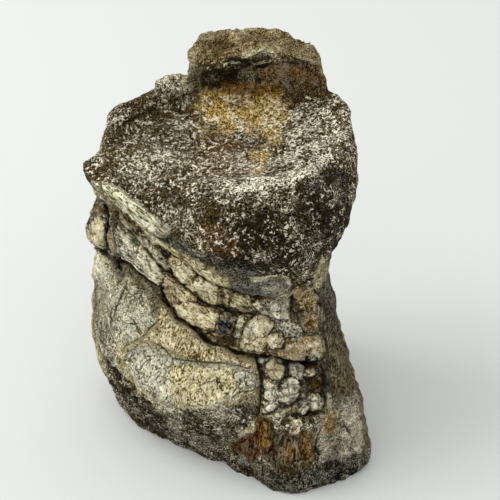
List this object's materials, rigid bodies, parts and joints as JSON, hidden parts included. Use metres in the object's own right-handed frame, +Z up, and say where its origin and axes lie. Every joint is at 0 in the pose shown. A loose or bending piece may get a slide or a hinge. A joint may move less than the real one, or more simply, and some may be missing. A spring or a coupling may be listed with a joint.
{
  "type": "fossil dinosaur vertebra",
  "caption": "Fossil dinosaur vertebra: a waisted centrum that stands on its flat lower end, with the broken stump of the neural arch behind its worn, spongy upper face.",
  "frame": {"origin": "centre of the bounding box's bottom, on the plane of the flat sole", "axes": "+Z up along the centrum, from its lower end to its upper face; +Y towards the neural arch's stump; +X to the right as seen from the front"},
  "size_m": [0.0822, 0.0824, 0.1073],
  "materials": {
    "fossil_bone": "matte, weathered, open-pored mineralised bone"
  },
  "bodies": {
    "root": {"vertebra": "fossil_bone"}
  },
  "joints": []
}
